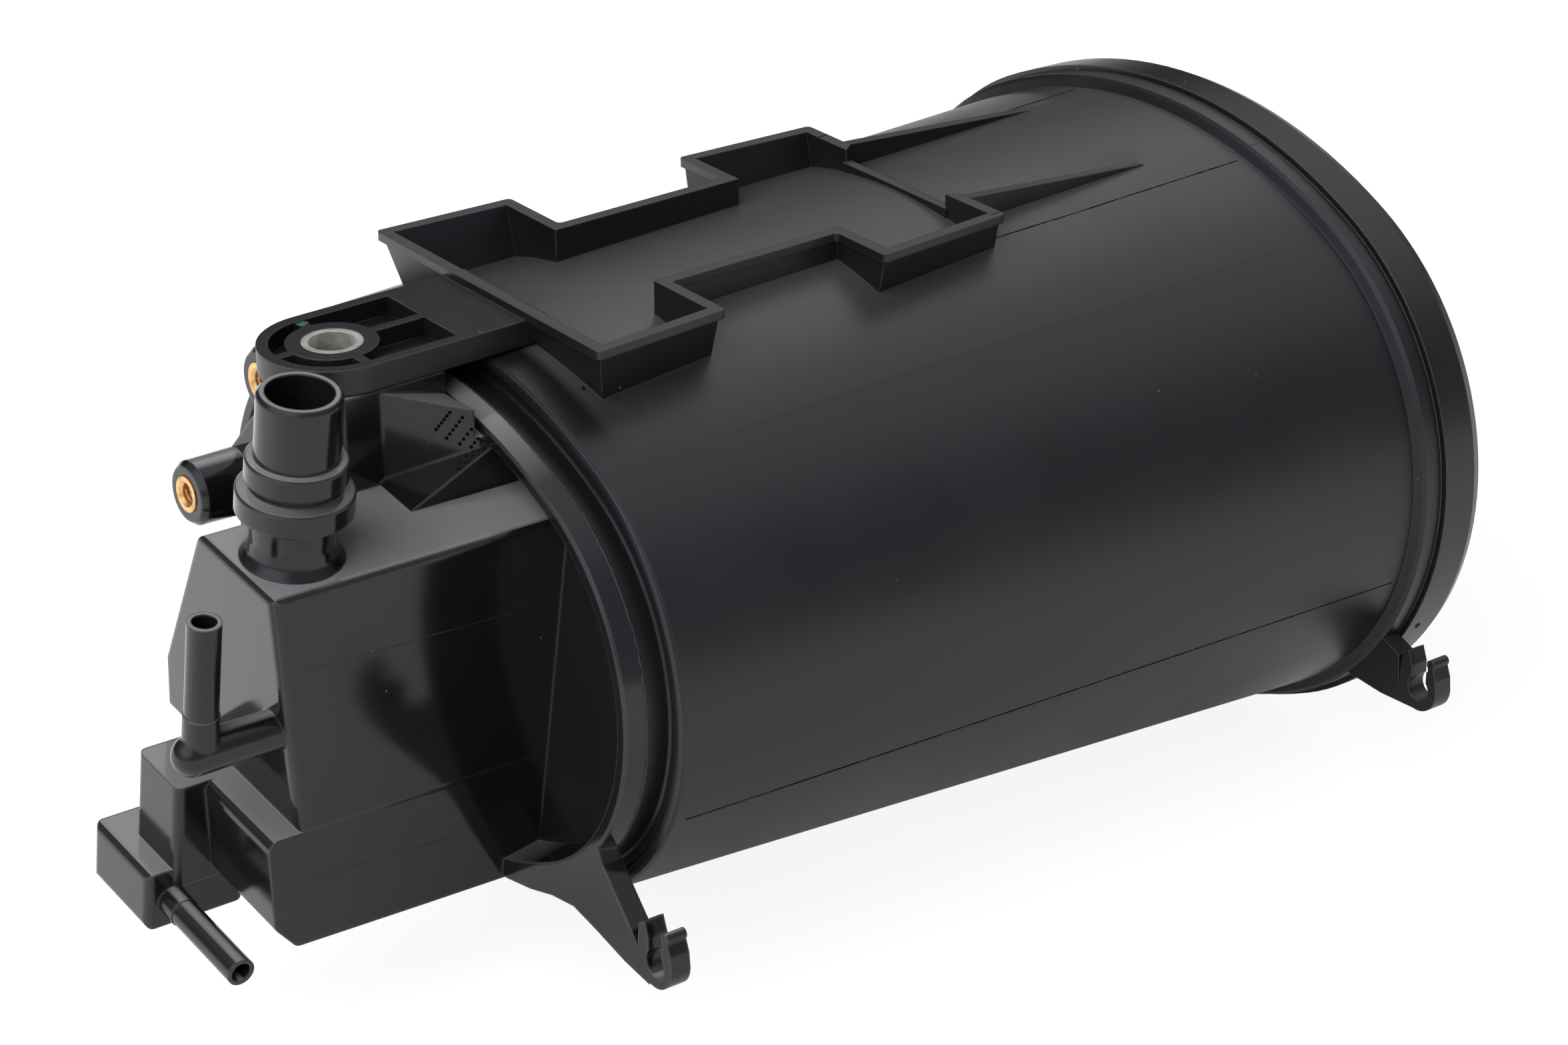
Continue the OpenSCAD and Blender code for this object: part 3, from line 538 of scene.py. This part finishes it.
# %% Short lines on the head, the flange and the cap
HEAD_ROLL = math.radians(8)
PRESS_FROM = 6 * MM
SHORT_STEPS = 60
HAIR = 0.14 * MM
TICK = 0.2 * MM
down = Vector((0, 0, -1))
inward = Vector((0, 1, 0))
head_in = Vector((0, math.cos(HEAD_ROLL), math.sin(HEAD_ROLL)))


def pressed(place, way, node):
    """The skin of a solid under a place in mm, looked for from a little outside."""
    return first_hit(Vector(place) * MM - way * PRESS_FROM, way, (node,))


def short_line(name, start, end, way, node, finish, radius):
    run = []
    for i in range(SHORT_STEPS + 1):
        place, normal = pressed(Vector(start).lerp(Vector(end), i / SHORT_STEPS), way, node)
        if place is not None:
            run.append((place, normal))
    return sweep(name, run, lumpy(radius, share=0.5, scale=700.0), False, finish, LINE_SINK)


short_lines = [
    short_line("box_side_line", (-41.1, -44.9, -52.5), (15.7, -44.6, -55.9), head_in,
               "front_head", head_plastic, HAIR),
    short_line("step_side_line", (-43.4, -36.9, -109.5), (1.4, -36.4, -113.7), head_in,
               "front_head", head_plastic, HAIR),
    short_line("flange_tick_far", (252.4, 29.1, -0.5), (255.6, 29.1, -0.6), down,
               "body_shell", case_plastic, TICK),
    short_line("flange_tick_near", (252.6, -34.2, -1.8), (255.8, -34.2, -1.9), down,
               "body_shell", case_plastic, TICK),
    short_line("cap_tick", (257.0, -104.4, -61.0), (265.0, -104.4, -61.3), inward,
               "end_cap", cap_plastic, TICK)]
print("short lines:", len(short_lines))

# %% [markdown]
# Inserts in the tool leave low round pips and nubs. One is a low dome, built ring by ring on the skin's
# own normal and sunk in it a little.

# %% Build a dome
DOME_RINGS = 4
DOME_SIDES = 14
DOME_SUNK = 0.02 * MM
OUTLINE_SCALE = 900.0


def dome(mesh, place, normal, radius, height, uneven=0.0):
    """Adds a low dome to a mesh; uneven lets its outline wander, as a drop of paint does."""
    side = normal.orthogonal().normalized()
    other = normal.cross(side)
    rings = []
    for ring in range(DOME_RINGS):
        lift = math.radians(90) * ring / DOME_RINGS
        rise = normal * (height * math.sin(lift) - DOME_SUNK)
        points = []
        for k in range(DOME_SIDES):
            turn = 2 * math.pi * k / DOME_SIDES
            out = side * math.cos(turn) + other * math.sin(turn)
            wander = 1 + uneven * noise.noise((place + out * radius) * OUTLINE_SCALE)
            points.append(mesh.verts.new(place + out * radius * math.cos(lift) * wander + rise))
        rings.append(points)
    top = mesh.verts.new(place + normal * (height - DOME_SUNK))
    for ring, following in zip(rings, rings[1:]):
        for k in range(DOME_SIDES):
            after = (k + 1) % DOME_SIDES
            mesh.faces.new((ring[k], ring[after], following[after], following[k]))
    for k in range(DOME_SIDES):
        mesh.faces.new((rings[-1][k], rings[-1][(k + 1) % DOME_SIDES], top))
    mesh.faces.new(rings[0][::-1])


print("a dome has", DOME_RINGS * DOME_SIDES + 1, "points")

# %% [markdown]
# Four short rows of pips stand on the gusset under the ear, beside a curved line in relief. They are given
# in the gusset's own plane, along it and up it in mm, and a pip that would land on another face is left
# out. One nub stands at the bracket's foot and one on the cap's rim.

# %% Pips and nubs
PIP_RADIUS = 0.45 * MM
PIP_HEIGHT = 0.35 * MM
NUB_RADIUS = 0.9 * MM
NUB_HEIGHT = 0.5 * MM
SAME_FACE = 0.98
FACET_START = Vector((12.0, -23.9, -16.0))
facet_in = Vector((0.57, 0.82, 0)).normalized()
facet_along = Vector((facet_in.y, -facet_in.x, 0))
PIP_ROWS = [((2.7, 3.4), (-0.5, -0.7), 6), ((5.5, 2.1), (1.8, -2.9), 6),
            ((8.3, 0.3), (4.7, -4.4), 5), ((8.8, -3.2), (7.2, -5.2), 3)]
RELIEF = [(2.4, 3.8), (-0.9, -0.4), (-3.0, -5.6)]
NUBS = {"bracket_nub": ((43.0, -35.9, -10.9), (0, 1, -0.6), "body_shell", case_plastic, "case"),
        "cap_nub": ((259.5, -98.0, -115.7), (0, 0.85, 0.5), "end_cap", cap_plastic, "cap")}


def on_facet(along, up):
    """The gusset's skin at a distance along it and up it in mm, or None where another face is met."""
    place, normal = pressed(FACET_START + facet_along * along + Vector((0, 0, up)), facet_in, "front_head")
    return (place, normal) if place is not None and normal.dot(facet_in) < -SAME_FACE else None


mesh = bmesh.new()
for first, last, count in PIP_ROWS:
    for i in range(count):
        spot = on_facet(*Vector(first).lerp(Vector(last), i / (count - 1)))
        if spot:
            dome(mesh, *spot, PIP_RADIUS, PIP_HEIGHT)
# The pips take the painted-shade plastic: their near-black colour is painted shade.
pips = piece_from(mesh, "gusset_pips", painted_shade_plastic)
low, bend, high = (Vector(point) for point in RELIEF)
shares = [i / SHORT_STEPS for i in range(SHORT_STEPS + 1)]
curve = [low.lerp(bend, t).lerp(bend.lerp(high, t), t) for t in shares]
sweep("gusset_relief", [spot for spot in (on_facet(*point) for point in curve) if spot],
      lumpy(HAIR, share=0.3, scale=500.0), False, weld_plastic, LINE_SINK)
for name, (where, way, node, finish, slot) in NUBS.items():
    place, normal = pressed(where, Vector(way).normalized(), node)
    mesh = bmesh.new()
    dome(mesh, place, normal, NUB_RADIUS, NUB_HEIGHT)
    piece_from(mesh, name, finish)
print("pips:", len(pips.data.polygons), "faces; nubs:", list(NUBS))

# %% [markdown]
# The inserts are tapped. Their thread is a ridge wound round the bore, swept like a bead whose normal
# points at the bore's own axis; the record says where each bore is.

# %% Threads in the inserts
THREAD_PITCH = 1.0 * MM
THREAD_RIDGE = 0.34 * MM
THREAD_SINK = 0.2
THREAD_STEPS = 28
bores = [mount for mount in frame["record"]["mounts"] if mount["kind"] == "threaded_hole"]
for mount in bores:
    out = Vector(mount["axis"])
    bore = mount["dims"]["r_mm"] * MM
    depth = mount["dims"]["length_mm"] * MM - THREAD_PITCH
    start = Vector(mount["pos_m"]) - out * THREAD_PITCH
    run = []
    for i in range(int(depth / THREAD_PITCH * THREAD_STEPS)):
        turn = 2 * math.pi * i / THREAD_STEPS
        side = across * math.cos(turn) + out.cross(across) * math.sin(turn)
        run.append((start - out * THREAD_PITCH * i / THREAD_STEPS + side * bore, -side))
    sweep(mount["name"], run, lambda place: THREAD_RIDGE, False, insert_brass, THREAD_SINK)
print("threads:", [mount["name"] for mount in bores])

# %% [markdown]
# An inspector's dab of paint marks the ear as checked. It is a thin uneven drop of teal, still a little
# glossy, with smaller ones beside it where the brush lifted.

# %% Paint mark on the ear
PAINT_HEIGHT = 0.07 * MM
PAINT_UNEVEN = 0.5
DROPS = [((-0.35, 12.4, 0), 1.1), ((0.8, 12.6, 0), 0.7), ((-1.4, 12.2, 0), 0.5)]
paint, tree = new_material("check_paint")
thin = ramp(tree, clouds(tree, on_part(tree), 900.0, 3.0), 0.35, 0.7)
teal = mixed(tree, thin, (0.012, 0.055, 0.048), (0.005, 0.022, 0.020))
coat = add(tree, "ShaderNodeBsdfPrincipled", {"Base Color": teal, "Roughness": 0.35})
add(tree, "ShaderNodeOutputMaterial", {0: coat.outputs[0]})
mesh = bmesh.new()
for where, radius in DROPS:
    place, normal = pressed(where, down, "body_shell")
    dome(mesh, place, normal, radius * MM, PAINT_HEIGHT, PAINT_UNEVEN)
piece_from(mesh, "check_dab", paint)
print("paint drops on the ear:", len(DROPS))

# %% [markdown]
# The part is black, so the room is chosen for what the plastic mirrors. A dim ceiling keeps the case's
# back dark, and the horizon is darkest behind the part, where the level lips and the ear look, and a
# little blue on the camera's side. Three soft glows, each given by its middle, the cosines where it starts
# and is full, and its strength, stand for what a studio has overhead. The camera itself sees only white.

# %% World
BEHIND = (0.612, 0.79, 0.0)
HORIZON_FROM = 0.40
CEILING_FROM = 0.60
CEILING = 0.38
DARKEST = 0.04
FRONT_TINT = (0.90, 0.93, 1.10)
BACK_TINT = (1.0, 0.99, 1.02)
WHITE = (1.0, 1.0, 1.0, 1.0)
GLOWS = {"over_back": ((0.42, 0.55, 0.72), 0.955, 0.985, 0.4, "LINEAR"),
         "key_side": ((-0.69, -0.2, 0.69), 0.75, 0.95, 1.0, "LINEAR"),
         "over_crest": ((0.55, 0.10, 0.83), 0.62, 1.0, 0.5, "SMOOTHSTEP")}
scene = bpy.context.scene
scene.view_settings.view_transform = "Standard"
world = bpy.data.worlds.new("white_room")
scene.world = world
world.use_nodes = True
room = world.node_tree
room.nodes.clear()
looking = add(room, "ShaderNodeTexCoord").outputs["Generated"]
height = add(room, "ShaderNodeSeparateXYZ", {0: looking}).outputs[2]
back_share = ramp(room, facing(room, looking, BEHIND), -0.5, 0.5)
horizon = ramp(room, back_share, 0.0, 1.0, CEILING, DARKEST)
strength = ramp(room, height, HORIZON_FROM, CEILING_FROM, horizon, CEILING)
for middle, start, full, glow, fade in GLOWS.values():
    soft = ramp(room, facing(room, looking, middle), start, full, 0.0, glow, interpolation_type=fade)
    strength = calc(room, "ADD", strength, soft)
tint = mixed(room, back_share, FRONT_TINT, BACK_TINT)
mirrored_room = add(room, "ShaderNodeBackground", {"Color": tint, "Strength": strength})
white_room = add(room, "ShaderNodeBackground", {"Color": WHITE, "Strength": 1.0})
rays = add(room, "ShaderNodeLightPath")
both = add(room, "ShaderNodeMixShader", {0: rays.outputs["Is Camera Ray"], 1: mirrored_room.outputs[0],
                                         2: white_room.outputs[0]})
add(room, "ShaderNodeOutputWorld", {0: both.outputs[0]})
print("glows in the room:", list(GLOWS))

# %% [markdown]
# To glossy rays the floor is a glowing sheet, a painted reflection of a lit floor: brighter behind the part
# than on the camera's side, with a painted shadow near the part from ambient occlusion. To the camera it is
# nearly white, with just enough matt floor left in the mix to keep the part's shadow.

# %% Floor
FLOOR_DROP = 1 * MM
FLOOR_HALF = 6.0
FLOOR_GREY = (0.86, 0.86, 0.86, 1.0)
CAMERA_WHITE = 0.90
SHADE_REACH = 0.25
# Strengths of the floor's painted reflection: dimmer on the camera's side, brighter behind the part.
NEAR_Y, NEAR_WHITE = -0.15, 0.95
FAR_Y, FAR_WHITE = 0.05, 1.30
CORNERS = [(-1, -1), (1, -1), (1, 1), (-1, 1)]
floor_z = CAD_BOX[0].z - FLOOR_DROP
mesh = bmesh.new()
mesh.faces.new([mesh.verts.new((x * FLOOR_HALF, y * FLOOR_HALF, floor_z)) for x, y in CORNERS])
floor_data = bpy.data.meshes.new("floor")
mesh.to_mesh(floor_data)
mesh.free()
floor = bpy.data.objects.new("floor", floor_data)
scene.collection.objects.link(floor)
floor_white, tree = new_material("floor_white")
rays = add(tree, "ShaderNodeLightPath")
matt = add(tree, "ShaderNodeBsdfDiffuse", {"Color": FLOOR_GREY})
# Ambient occlusion paints a shadow into the floor's reflection near the part.
painted_floor_shadow = add(tree, "ShaderNodeAmbientOcclusion", {"Distance": SHADE_REACH}, samples=8)
depth_way = add(tree, "ShaderNodeSeparateXYZ", {0: on_part(tree)}).outputs[1]
lit = ramp(tree, depth_way, NEAR_Y, FAR_Y, NEAR_WHITE, FAR_WHITE)
lit = calc(tree, "MULTIPLY", painted_floor_shadow.outputs["AO"], lit)
painted_floor_reflection = add(tree, "ShaderNodeEmission", {"Color": WHITE, "Strength": lit})
glow = add(tree, "ShaderNodeEmission", {"Color": WHITE, "Strength": 1.0})
to_camera = calc(tree, "MULTIPLY", rays.outputs["Is Camera Ray"], CAMERA_WHITE)
seen = add(tree, "ShaderNodeMixShader", {0: to_camera, 1: matt.outputs[0], 2: glow.outputs[0]})
both = add(tree, "ShaderNodeMixShader", {0: rays.outputs["Is Glossy Ray"], 1: seen.outputs[0],
                                         2: painted_floor_reflection.outputs[0]})
add(tree, "ShaderNodeOutputMaterial", {0: both.outputs[0]})
floor_white.cycles.emission_sampling = "NONE"
floor_data.materials.append(floor_white)
print("floor at", round(floor_z / MM, 1), "mm")

# %% [markdown]
# One big soft box stands on the head's side, high up: it greys the tops of the head's boxes and the outer
# edges that turn towards it. A weak one overhead fills the tray. Neither is mirrored in the plastic, since
# the room's own glows are softer than a box's hard outline.

# %% Lamps
CENTRE = (CAD_BOX[0] + CAD_BOX[1]) / 2


def soft_box(name, way, distance, width, height, watts):
    data = bpy.data.lights.new(name, "AREA")
    data.shape = "RECTANGLE"
    data.size = width
    data.size_y = height
    data.energy = watts
    lamp = bpy.data.objects.new(name, data)
    scene.collection.objects.link(lamp)
    back = Vector(way).normalized()
    lamp.location = CENTRE + back * distance
    lamp.rotation_mode = "QUATERNION"
    lamp.rotation_quaternion = (-back).to_track_quat("-Z", "Y")
    lamp.visible_glossy = False
    return lamp


lamps = [soft_box("key_box", (-0.7, -0.2, 0.7), distance=1.3, width=1.5, height=1.3, watts=62.0),
         soft_box("overhead_box", (0.1, 0.15, 1.0), distance=1.1, width=1.2, height=0.8, watts=2.5)]
print("lamps:", [lamp.name for lamp in lamps])

# %% [markdown]
# The camera stands where the photograph was taken from: its place and angles come from the known corners
# of the bracket, and the lens from the way the case narrows with distance.

# %% Camera
CAMERA_PLACE = Vector((-411.1, -692.8, 347.8)) * MM
CAMERA_AZIMUTH = math.radians(-37.94)
CAMERA_ELEVATION = math.radians(26.21)
SENSOR = 36.0
FOCAL_PIXELS = 5800
PHOTO_WIDTH = 2352
camera_data = bpy.data.cameras.new("photo_camera")
camera_data.sensor_fit = "HORIZONTAL"
camera_data.sensor_width = SENSOR
camera_data.lens = SENSOR * FOCAL_PIXELS / PHOTO_WIDTH
camera_data.clip_start = 0.01
camera_data.clip_end = 50
camera = bpy.data.objects.new("photo_camera", camera_data)
scene.collection.objects.link(camera)
back = Vector((math.sin(CAMERA_AZIMUTH) * math.cos(CAMERA_ELEVATION),
               -math.cos(CAMERA_AZIMUTH) * math.cos(CAMERA_ELEVATION), math.sin(CAMERA_ELEVATION)))
camera.location = CAMERA_PLACE
camera.rotation_mode = "QUATERNION"
camera.rotation_quaternion = (-back).to_track_quat("-Z", "Y")
scene.camera = camera
print("lens", round(camera_data.lens, 2), "mm")

# %% [markdown]
# The marks have to stay inside the part's own box.
